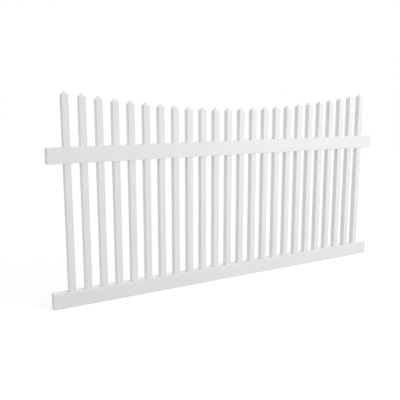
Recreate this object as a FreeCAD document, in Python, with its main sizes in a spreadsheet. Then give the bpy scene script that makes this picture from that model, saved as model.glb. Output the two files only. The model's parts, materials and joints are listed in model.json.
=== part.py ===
import FreeCAD, Part
import os

import Sketcher

# Scalloped picket fence panel in hollow extruded vinyl, in millimetres with +Z up.
# Two hollow rails are routed with square holes. Hollow square pickets pass through the top rail,
# stand on the inside floor of the bottom rail and are cut to a curve that dips in the middle.
# A moulded pyramid cap with a plug closes each picket, and a flush plug closes each rail end.
# The origin is at the middle of the bottom rail's left end face, X runs along the panel
# and Y through its thickness.

# Driving dimensions: alias, value and meaning.
SIZES = [
    ("rail_length", 2438.4, "length of each rail from end to end"),
    ("rail_height", 88.9, "height of the rail section"),
    ("rail_depth", 50.8, "thickness of the rail section, front to back"),
    ("rail_wall", 2.3, "wall of the rail section"),
    ("rail_edge_radius", 1.6, "rounding of the rail's long edges"),
    ("least_inside_radius", 0.3, "least rounding inside the corners of a rail"),
    ("rail_spacing", 825.5, "from the bottom rail to the top rail, centre to centre"),
    ("post_tongue", 36.0, "length of each rail end that slides into a post"),
    ("picket_count", 24, "number of pickets"),
    ("picket_size", 38.1, "side of the square picket section"),
    ("picket_wall", 1.5, "wall of the picket section"),
    ("picket_edge_radius", 1.6, "rounding of the picket's long edges"),
    ("picket_clearance", 0.3, "room around a picket in its routed hole, each side"),
    ("lowest_tip_rise", 208.8, "from the top rail up to the lowest point of the curve of tips"),
    ("scallop_dip", 96.0, "how far the curve of tips dips between the panel's ends"),
    ("cap_rise", 22.0, "height of the cap's pyramid"),
    ("cap_lip", 2.5, "upright band of the cap below its pyramid"),
    ("cap_overhang", 0.5, "how far the cap stands out past the picket, each side"),
    ("cap_tip", 1.5, "width of the blunt tip of the pyramid"),
    ("cap_wall", 1.8, "wall of the cap's plug"),
    ("plug_depth", 14.0, "how far the cap's plug reaches down into the picket"),
    ("plug_clearance", 0.2, "room around a plug inside its tube, each side"),
    ("end_plug_depth", 12.0, "how far the plug of a rail end reaches into the rail"),
    ("end_plug_wall", 2.0, "wall of the plug of a rail end"),
]

# How far, in millimetres, an edge may stray from the corner line that it is looked up by.
TOLERANCE = 0.001

# Sizes that follow from the driving dimensions.
RAIL_FLOOR = "(Sizes.rail_wall - Sizes.rail_height / 2)"
RAIL_INSIDE_RADIUS = "max(Sizes.rail_edge_radius - Sizes.rail_wall; Sizes.least_inside_radius)"
GAP = (
    "((Sizes.rail_length - 2 * Sizes.post_tongue - Sizes.picket_count * Sizes.picket_size)"
    " / (Sizes.picket_count + 1))"
)
PITCH = f"({GAP} + Sizes.picket_size)"
FIRST_PICKET = f"(Sizes.post_tongue + {GAP} + Sizes.picket_size / 2)"
HOLE = "(Sizes.picket_size + 2 * Sizes.picket_clearance)"
CAP_BASE = "(Sizes.picket_size + 2 * Sizes.cap_overhang)"
PLUG = "(Sizes.picket_size - 2 * Sizes.picket_wall - 2 * Sizes.plug_clearance)"
PLUG_BORE = f"({PLUG} - 2 * Sizes.cap_wall)"
LAST = "(Sizes.picket_count - 1)"


def picket_x(index):
    """Distance of a picket's centre line from the panel's left end."""
    return f"{FIRST_PICKET} + {index} * {PITCH}"


def shoulder_z(index):
    """Height at which a picket ends and its cap begins: the tips follow half a cosine wave."""
    tip = (
        "(Sizes.rail_spacing + Sizes.rail_height / 2 + Sizes.lowest_tip_rise"
        f" + Sizes.scallop_dip * (1 - cos(180 deg * ({index} / {LAST} - 0.5))))"
    )
    return f"({tip} - Sizes.cap_rise - Sizes.cap_lip)"


def make_sheet(doc):
    sheet = doc.addObject("Spreadsheet::Sheet", "Sizes")
    for row, (alias, value, meaning) in enumerate(SIZES, start=1):
        sheet.set(f"A{row}", alias)
        sheet.set(f"B{row}", str(value))
        sheet.set(f"C{row}", meaning)
        sheet.setAlias(f"B{row}", alias)
    doc.recompute()
    return sheet


def bind(obj, **expressions):
    """Binds properties to expressions; a double underscore in a name stands for a dot."""
    for name, expression in expressions.items():
        obj.setExpression(name.replace("__", "."), expression)


def place(obj, x="0", z="0"):
    bind(obj, Placement__Base__x=x, Placement__Base__z=z)


def add_sketch(body, name, role, height="0"):
    """Adds a sketch on one of the body's origin planes, raised from it by height."""
    plane = next(f for f in body.Origin.OriginFeatures if f.Role == role)
    sketch = body.newObject("Sketcher::SketchObject", name)
    sketch.AttachmentSupport = (plane, "")
    sketch.MapMode = "FlatFace"
    bind(sketch, AttachmentOffset__Base__z=height)
    return sketch


def draw_rectangle(sketch, name, width, height, centre_x="0"):
    """Draws a rectangle centred on the sketch's horizontal axis, at centre_x along it."""
    corners = [FreeCAD.Vector(x, y, 0) for x, y in ((-1, -1), (1, -1), (1, 1), (-1, 1))]
    first = sketch.GeometryCount
    for start, end in zip(corners, corners[1:] + corners[:1]):
        sketch.addGeometry(Part.LineSegment(start, end))
    for side in range(4):
        sketch.addConstraint(Sketcher.Constraint("Coincident", first + side, 2, first + (side + 1) % 4, 1))
    for side in (0, 2):
        sketch.addConstraint(Sketcher.Constraint("Horizontal", first + side))
        sketch.addConstraint(Sketcher.Constraint("Vertical", first + side + 1))
    middle = sketch.addGeometry(Part.Point(FreeCAD.Vector(0, 0, 0)), True)
    sketch.addConstraint(Sketcher.Constraint("Symmetric", first, 1, first + 2, 1, middle, 1))
    sketch.addConstraint(Sketcher.Constraint("PointOnObject", middle, 1, -1))
    for label, kind, points, value in (
        ("width", "DistanceX", (first, 1, first, 2), width),
        ("height", "DistanceY", (first + 1, 1, first + 1, 2), height),
        ("centre", "DistanceX", (-1, 1, middle, 1), centre_x),
    ):
        constraint = sketch.addConstraint(Sketcher.Constraint(kind, *points, 0.5))
        sketch.renameConstraint(constraint, f"{name}_{label}")
        sketch.setExpression(f"Constraints.{name}_{label}", value)


def add_pad(body, name, sketch, length, reversed_way=False):
    pad = body.newObject("PartDesign::Pad", name)
    pad.Profile = sketch
    pad.Reversed = reversed_way
    bind(pad, Length=length)
    body.Document.recompute()
    return pad


def long_edges(shape, across):
    """Names the edges square to the two directions across: at the outer corners, and elsewhere."""
    box = shape.BoundBox
    at_corners, elsewhere = [], []
    for number, edge in enumerate(shape.Edges, start=1):
        off_corner = 0
        span = 0
        for side in across:
            low, high = getattr(edge.BoundBox, f"{side}Min"), getattr(edge.BoundBox, f"{side}Max")
            span = max(span, high - low)
            off_low, off_high = low - getattr(box, f"{side}Min"), getattr(box, f"{side}Max") - high
            off_corner = max(off_corner, min(off_low, off_high))
        if span < TOLERANCE:
            names = at_corners if off_corner < TOLERANCE else elsewhere
            names.append(f"Edge{number}")
    return at_corners, elsewhere


def round_edges(body, name, base, edges, radius):
    rounded = body.newObject("PartDesign::Fillet", name)
    rounded.Base = (base, edges)
    bind(rounded, Radius=radius)
    body.Document.recompute()
    return rounded


def add_tube(doc, label, role, width, height, wall, length):
    """Makes a body that is a plain rectangular tube, square to one of its origin planes."""
    body = doc.addObject("PartDesign::Body", label)
    section = add_sketch(body, "section", role)
    draw_rectangle(section, "outside", width, height)
    draw_rectangle(section, "inside", f"{width} - 2 * {wall}", f"{height} - 2 * {wall}")
    return body, add_pad(body, "tube", section, length)


def check_removed(feature, base):
    if not feature.Shape.Volume < base.Shape.Volume:
        raise RuntimeError(f"{feature.Label} removes nothing")


def rout_holes(body, base, start):
    """Cuts the row of square picket holes upwards from the height start."""
    sketch = add_sketch(body, "hole_outline", "XY_Plane", start)
    draw_rectangle(sketch, "hole", HOLE, HOLE, FIRST_PICKET)
    hole = body.newObject("PartDesign::Pocket", "first_hole")
    hole.Profile = sketch
    hole.Type = "ThroughAll"
    hole.Reversed = True
    body.Document.recompute()
    check_removed(hole, base)
    row = body.newObject("PartDesign::LinearPattern", "hole_row")
    row.Originals = [hole]
    row.Direction = (sketch, ["H_Axis"])
    bind(row, Length=f"{PITCH} * {LAST}", Occurrences="Sizes.picket_count")
    body.Tip = row
    body.Document.recompute()
    check_removed(row, hole)


def make_rail(doc, label, height, holes_from):
    """Makes one rail, its wall even round the corners, with picket holes upwards from holes_from."""
    body, tube = add_tube(
        doc, label, "YZ_Plane", "Sizes.rail_depth", "Sizes.rail_height", "Sizes.rail_wall",
        "Sizes.rail_length",
    )
    _, inner = long_edges(tube.Shape, "YZ")
    inside = round_edges(body, "rounded_inside", tube, inner, RAIL_INSIDE_RADIUS)
    outer, _ = long_edges(inside.Shape, "YZ")
    rounded = round_edges(body, "rounded_outside", inside, outer, "Sizes.rail_edge_radius")
    rout_holes(body, rounded, holes_from)
    place(body, z=height)
    return body


def make_picket(doc, index):
    """Makes one picket, standing on the bottom rail's inside floor."""
    body, tube = add_tube(
        doc, f"picket_{index + 1:02d}", "XY_Plane", "Sizes.picket_size", "Sizes.picket_size",
        "Sizes.picket_wall", f"{shoulder_z(index)} - {RAIL_FLOOR}",
    )
    outer, _ = long_edges(tube.Shape, "XY")
    round_edges(body, "rounded_edges", tube, outer, "Sizes.picket_edge_radius")
    place(body, x=picket_x(index), z=RAIL_FLOOR)
    return body


def add_pyramid(body, kind, base, tip, rise, foot):
    """Adds or cuts a square pyramid that stands on the height foot."""
    pyramid = body.newObject(f"PartDesign::{kind}Wedge", f"{kind.lower()}_pyramid")
    pyramid.Placement.Rotation = FreeCAD.Rotation(FreeCAD.Vector(1, 0, 0), 90)
    bind(
        pyramid,
        Xmin=f"-{base} / 2", Xmax=f"{base} / 2", Zmin=f"-{base} / 2", Zmax=f"{base} / 2",
        X2min=f"-{tip} / 2", X2max=f"{tip} / 2", Z2min=f"-{tip} / 2", Z2max=f"{tip} / 2",
        Ymin="0", Ymax=rise, Placement__Base__z=foot,
    )
    body.Document.recompute()
    return pyramid


def make_cap(doc):
    """Makes the moulded cap: a lip on the picket's end, a hollow pyramid over it and a plug below."""
    body = doc.addObject("PartDesign::Body", "picket_cap")
    lip_outline = add_sketch(body, "lip_outline", "XY_Plane")
    draw_rectangle(lip_outline, "lip", CAP_BASE, CAP_BASE)
    add_pad(body, "lip", lip_outline, "Sizes.cap_lip")
    add_pyramid(body, "Additive", CAP_BASE, "Sizes.cap_tip", "Sizes.cap_rise", "Sizes.cap_lip")
    plug_outline = add_sketch(body, "plug_outline", "XY_Plane")
    draw_rectangle(plug_outline, "plug", PLUG, PLUG)
    plug = add_pad(body, "plug", plug_outline, "Sizes.plug_depth", reversed_way=True)

    bore_outline = add_sketch(body, "bore_outline", "XY_Plane", "-Sizes.plug_depth")
    draw_rectangle(bore_outline, "bore", PLUG_BORE, PLUG_BORE)
    bore = body.newObject("PartDesign::Pocket", "bore")
    bore.Profile = bore_outline
    bore.Reversed = True
    bind(bore, Length="Sizes.plug_depth + Sizes.cap_lip")
    doc.recompute()
    check_removed(bore, plug)
    scale = f"({PLUG_BORE} / {CAP_BASE})"
    hollow = add_pyramid(
        body, "Subtractive", PLUG_BORE, f"(Sizes.cap_tip * {scale})", f"Sizes.cap_rise * {scale}",
        "Sizes.cap_lip",
    )
    check_removed(hollow, bore)
    return body


def make_end_plug(doc):
    """Makes the tray that closes a rail end: its plate faces -X and its rim reaches into the rail."""
    body = doc.addObject("PartDesign::Body", "rail_end_plug")
    room = "2 * (Sizes.rail_wall + Sizes.plug_clearance)"
    walls = "2 * Sizes.end_plug_wall"
    width = f"Sizes.rail_depth - {room}"
    height = f"Sizes.rail_height - {room}"
    outline = add_sketch(body, "plug_outline", "YZ_Plane")
    draw_rectangle(outline, "plug", width, height)
    square_block = add_pad(body, "square_block", outline, "Sizes.end_plug_depth")
    outer, _ = long_edges(square_block.Shape, "YZ")
    block = round_edges(body, "block", square_block, outer, RAIL_INSIDE_RADIUS)
    inside = add_sketch(body, "inside_outline", "YZ_Plane", "Sizes.end_plug_wall")
    draw_rectangle(inside, "inside", f"{width} - {walls}", f"{height} - {walls}")
    hollow = body.newObject("PartDesign::Pocket", "hollow")
    hollow.Profile = inside
    hollow.Type = "ThroughAll"
    hollow.Reversed = True
    doc.recompute()
    check_removed(hollow, block)
    return body


def repeat(doc, label, piece, places):
    """Repeats a piece as one group of separate solids; a place is its x, z and turn about Z."""
    copies = []
    for number, (x, z, turn) in enumerate(places, start=1):
        copy = doc.addObject("App::Link", f"{piece.Label}_{number:02d}")
        copy.LinkedObject = piece
        copy.Placement.Rotation = FreeCAD.Rotation(FreeCAD.Vector(0, 0, 1), turn)
        place(copy, x, z)
        copies.append(copy)
    group = doc.addObject("Part::Compound", label)
    group.Links = copies
    doc.recompute()
    return group


def check_document(doc, nodes):
    for obj in doc.Objects:
        if "Invalid" in obj.State or "Error" in obj.State:
            raise RuntimeError(f"{obj.Label} did not recompute: {obj.State}")
    for node in nodes:
        if node.Shape.isNull() or not node.Shape.isValid():
            raise RuntimeError(f"{node.Label} has no valid shape")


def main():
    doc = FreeCAD.newDocument("picket_fence_panel")
    sheet = make_sheet(doc)
    count = int(sheet.picket_count)
    nodes = [
        make_rail(doc, "bottom_rail", "0", RAIL_FLOOR),
        make_rail(doc, "top_rail", "Sizes.rail_spacing", "-Sizes.rail_height / 2"),
    ]
    nodes += [make_picket(doc, index) for index in range(count)]
    cap_places = [(picket_x(index), shoulder_z(index), 0) for index in range(count)]
    nodes.append(repeat(doc, "picket_caps", make_cap(doc), cap_places))
    plug_places = []
    for height in ("0", "Sizes.rail_spacing"):
        plug_places += [("0", height, 0), ("Sizes.rail_length", height, 180)]
    nodes.append(repeat(doc, "rail_end_plugs", make_end_plug(doc), plug_places))
    doc.recompute()
    check_document(doc, nodes)
    os.makedirs("parts", exist_ok=True)
    for node in nodes:
        node.Shape.exportStep(f"parts/{node.Label}.step")


main()
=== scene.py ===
import json
import math

import bpy
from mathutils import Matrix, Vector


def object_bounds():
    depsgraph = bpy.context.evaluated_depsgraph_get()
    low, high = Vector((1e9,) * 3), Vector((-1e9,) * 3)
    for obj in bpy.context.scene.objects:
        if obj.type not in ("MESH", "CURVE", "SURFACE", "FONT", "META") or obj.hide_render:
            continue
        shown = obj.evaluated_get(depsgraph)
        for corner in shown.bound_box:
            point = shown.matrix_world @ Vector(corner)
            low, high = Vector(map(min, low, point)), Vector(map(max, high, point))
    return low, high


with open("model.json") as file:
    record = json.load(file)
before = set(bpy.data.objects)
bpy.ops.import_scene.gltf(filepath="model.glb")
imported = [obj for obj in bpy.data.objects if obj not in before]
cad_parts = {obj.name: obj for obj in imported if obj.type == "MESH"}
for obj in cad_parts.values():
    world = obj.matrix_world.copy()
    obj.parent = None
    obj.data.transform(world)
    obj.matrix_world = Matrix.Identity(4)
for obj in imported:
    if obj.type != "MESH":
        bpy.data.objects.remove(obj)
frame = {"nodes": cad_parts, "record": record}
cad_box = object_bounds()

# The level that the camera sees as white.
WHITE = 1.0

# Camera, in metres and degrees, from the lines of the pickets and rails in the photograph.
CAMERA_PLACE = (-0.7437, -2.9561, 1.1055)
CAMERA_TURN = 29.987
CAMERA_TILT = -10.0505
CAMERA_LENS_MM = 48.896
SENSOR_MM = 36.0

# The sky's level is SKY_LEVEL plus the dot product of its direction and SKY_LEAN. The key is a soft lamp.
SKY_LEVEL = 0.83
SKY_LEAN = (0.3, 0.07, 0.0)
KEY_PLACE = (2.4, -2.1, 2.0)
KEY_SIZE = 1.8
KEY_WATTS = 20.8

# The floor reflects this share of the light. Two thirds of the sky's upward lean reach a level floor.
FLOOR_SIZE = 120.0
FLOOR_SHARE = 0.7
SKY_ON_FLOOR = SKY_LEVEL + 2 / 3 * SKY_LEAN[2]

# Vinyl: its darkest and lightest grey, how far the lines and the slow tone move it between them,
# and the limits of its roughness.
VINYL_DARK = 0.86
VINYL_LIGHT = 0.90
LINES_SHARE = 0.4
TONE_SHARE = 0.6
ROUGHNESS_LOW = 0.5
ROUGHNESS_HIGH = 0.6
VINYL_IOR = 1.53

# Noises of the vinyl: repeats per metre, levels of detail, relief in metres and the middle of their range.
LINES_PER_METRE = 420.0
LINES_DETAIL = 4.0
LINES_RELIEF = 0.00004
GRAIN_PER_METRE = 2600.0
GRAIN_DETAIL = 1.0
GRAIN_RELIEF = 0.00002
TONE_PER_METRE = 3.0
TONE_DETAIL = 3.0
NOISE_LOW = 0.3
NOISE_HIGH = 0.7

# Extruded pieces have long lines from the die, and moulded ones a coarse even grain.
DIE_STRETCH = 60.0
MOULD_STRETCH = 3.0

# Radii of the sharp edges, in metres: sawn and routed ones, and those of moulded caps and plugs.
CUT_EDGE = 0.0005
MOULDED_EDGE = 0.0012
EDGE_SAMPLES = 6

# The finish of each material slot: its stretch along X, Y and Z, and the radius of its edges.
FINISHES = {
    "rail_vinyl": ((DIE_STRETCH, 1.0, 1.0), CUT_EDGE),
    "picket_vinyl": ((1.0, 1.0, DIE_STRETCH), CUT_EDGE),
    "cap_vinyl": ((MOULD_STRETCH, MOULD_STRETCH, MOULD_STRETCH), MOULDED_EDGE),
}


def grey(level):
    return (level, level, level, 1.0)


def add_node(tree, kind, **values):
    """Adds a shader node and sets the named input sockets, with _ for a space in a name."""
    node = tree.nodes.new(kind)
    for name, value in values.items():
        node.inputs[name.replace("_", " ")].default_value = value
    return node


def combine(tree, operation, first, second):
    """A math node over the output first and second, which is an output or a number."""
    node = tree.nodes.new("ShaderNodeMath")
    node.operation = operation
    tree.links.new(first, node.inputs[0])
    if isinstance(second, float):
        node.inputs[1].default_value = second
    else:
        tree.links.new(second, node.inputs[1])
    return node.outputs["Value"]


def new_material(name):
    material = bpy.data.materials.new(name)
    material.use_nodes = True
    tree = material.node_tree
    return material, tree, tree.nodes["Principled BSDF"]


def noise(tree, place, per_metre, detail, stretch=(1.0, 1.0, 1.0)):
    """Noise over the object's own metres; stretch lengthens it along an axis."""
    mapping = add_node(tree, "ShaderNodeMapping", Scale=[per_metre / s for s in stretch])
    tree.links.new(place, mapping.inputs["Vector"])
    texture = add_node(tree, "ShaderNodeTexNoise", Scale=1.0, Detail=detail)
    tree.links.new(mapping.outputs["Vector"], texture.inputs["Vector"])
    return texture.outputs["Fac"]


def spread(tree, value, low, high):
    """Maps the middle of a noise onto the range from low to high."""
    limits = {"From_Min": NOISE_LOW, "From_Max": NOISE_HIGH, "To_Min": low, "To_Max": high}
    node = add_node(tree, "ShaderNodeMapRange", **limits)
    tree.links.new(value, node.inputs["Value"])
    return node.outputs["Result"]


def bump(tree, height, relief, under):
    """Raises the surface normal under by a height of 0 to 1 times the relief."""
    node = add_node(tree, "ShaderNodeBump", Strength=1.0, Distance=relief)
    tree.links.new(height, node.inputs["Height"])
    tree.links.new(under, node.inputs["Normal"])
    return node.outputs["Normal"]


def vinyl(name, stretch, edge):
    """White satin vinyl: faint stretched lines, a slow change of tone and a fine grain.

    Its sharp edges catch the light as if rounded to the radius edge.
    """
    material, tree, shader = new_material(name)
    place = tree.nodes.new("ShaderNodeTexCoord").outputs["Object"]
    lines = noise(tree, place, LINES_PER_METRE, LINES_DETAIL, stretch)
    tone = noise(tree, place, TONE_PER_METRE, TONE_DETAIL)
    grain = noise(tree, place, GRAIN_PER_METRE, GRAIN_DETAIL)

    mixed = tree.nodes.new("ShaderNodeMix")
    mixed.data_type = "RGBA"
    mixed.inputs["A"].default_value = grey(VINYL_DARK)
    mixed.inputs["B"].default_value = grey(VINYL_LIGHT)
    from_lines = spread(tree, lines, 0.0, LINES_SHARE)
    from_tone = spread(tree, tone, 0.0, TONE_SHARE)
    tree.links.new(combine(tree, "ADD", from_lines, from_tone), mixed.inputs["Factor"])
    tree.links.new(mixed.outputs["Result"], shader.inputs["Base Color"])

    tree.links.new(spread(tree, lines, ROUGHNESS_LOW, ROUGHNESS_HIGH), shader.inputs["Roughness"])
    shader.inputs["IOR"].default_value = VINYL_IOR
    soft = add_node(tree, "ShaderNodeBevel", Radius=edge)
    soft.samples = EDGE_SAMPLES
    grained = bump(tree, grain, GRAIN_RELIEF, soft.outputs["Normal"])
    tree.links.new(bump(tree, lines, LINES_RELIEF, grained), shader.inputs["Normal"])
    return material


def dress_nodes():
    """Gives each node the finish of its material slot in the record."""
    made = {slot: vinyl(slot, stretch, edge) for slot, (stretch, edge) in FINISHES.items()}
    for subpart in frame["record"]["subparts"]:
        slots = frame["nodes"][subpart["node"]].data.materials
        slots.clear()
        slots.append(made[subpart["material_slot"]])


def camera_ray_or_mirror(tree):
    """1 for a ray from the camera, a reflection or a transmission, and 0 for diffuse light."""
    path = tree.nodes.new("ShaderNodeLightPath")
    seen = path.outputs["Is Camera Ray"]
    for name in ("Is Glossy Ray", "Is Transmission Ray"):
        seen = combine(tree, "MAXIMUM", seen, path.outputs[name])
    return seen


def make_floor():
    """A pale floor under the bottom rail: white to the camera, with the panel's soft shadow."""
    lowest = cad_box[0][2]
    bpy.ops.mesh.primitive_plane_add(size=FLOOR_SIZE, location=(0, 0, lowest))
    floor = bpy.context.object
    floor.name = "floor"
    material, tree, shader = new_material("floor_white")
    tree.nodes.remove(shader)
    matte = add_node(tree, "ShaderNodeBsdfDiffuse", Color=grey(FLOOR_SHARE))
    glow = tree.nodes.new("ShaderNodeEmission")
    short_of_white = WHITE - FLOOR_SHARE * SKY_ON_FLOOR
    strength = combine(tree, "MULTIPLY", camera_ray_or_mirror(tree), short_of_white)
    tree.links.new(strength, glow.inputs["Strength"])
    both = tree.nodes.new("ShaderNodeAddShader")
    tree.links.new(matte.outputs["BSDF"], both.inputs[0])
    tree.links.new(glow.outputs["Emission"], both.inputs[1])
    tree.links.new(both.outputs["Shader"], tree.nodes["Material Output"].inputs["Surface"])
    floor.data.materials.append(material)


def make_world():
    """Soft light from all round that is brighter along SKY_LEAN, and a white background."""
    world = bpy.data.worlds.new("studio")
    bpy.context.scene.world = world
    world.use_nodes = True
    tree = world.node_tree
    lean = tree.nodes.new("ShaderNodeVectorMath")
    lean.operation = "DOT_PRODUCT"
    lean.inputs[1].default_value = SKY_LEAN
    tree.links.new(tree.nodes.new("ShaderNodeTexCoord").outputs["Generated"], lean.inputs[0])
    level = add_node(tree, "ShaderNodeMapRange", To_Max=WHITE)
    tree.links.new(combine(tree, "ADD", lean.outputs["Value"], SKY_LEVEL), level.inputs["To Min"])
    tree.links.new(camera_ray_or_mirror(tree), level.inputs["Value"])
    back = tree.nodes["Background"]
    back.inputs["Color"].default_value = grey(WHITE)
    tree.links.new(level.outputs["Result"], back.inputs["Strength"])


def make_key():
    """One large soft lamp to the right, in front of the panel and above it."""
    data = bpy.data.lights.new("key", "AREA")
    data.shape = "DISK"
    data.size = KEY_SIZE
    data.energy = KEY_WATTS
    lamp = bpy.data.objects.new("key", data)
    bpy.context.scene.collection.objects.link(lamp)
    lamp.location = KEY_PLACE
    middle = (cad_box[0] + cad_box[1]) / 2
    lamp.rotation_euler = (middle - lamp.location).to_track_quat("-Z", "Y").to_euler()


def make_camera():
    """The photograph's camera. A camera that isn't turned looks straight down, 90 degrees below level."""
    data = bpy.data.cameras.new("camera")
    data.sensor_width = SENSOR_MM
    data.lens = CAMERA_LENS_MM
    camera = bpy.data.objects.new("camera", data)
    bpy.context.scene.collection.objects.link(camera)
    camera.location = CAMERA_PLACE
    camera.rotation_euler = (math.radians(90.0 + CAMERA_TILT), 0.0, math.radians(-CAMERA_TURN))
    bpy.context.scene.camera = camera


dress_nodes()
make_floor()
make_world()
make_key()
make_camera()
bpy.context.scene.view_settings.view_transform = "Standard"
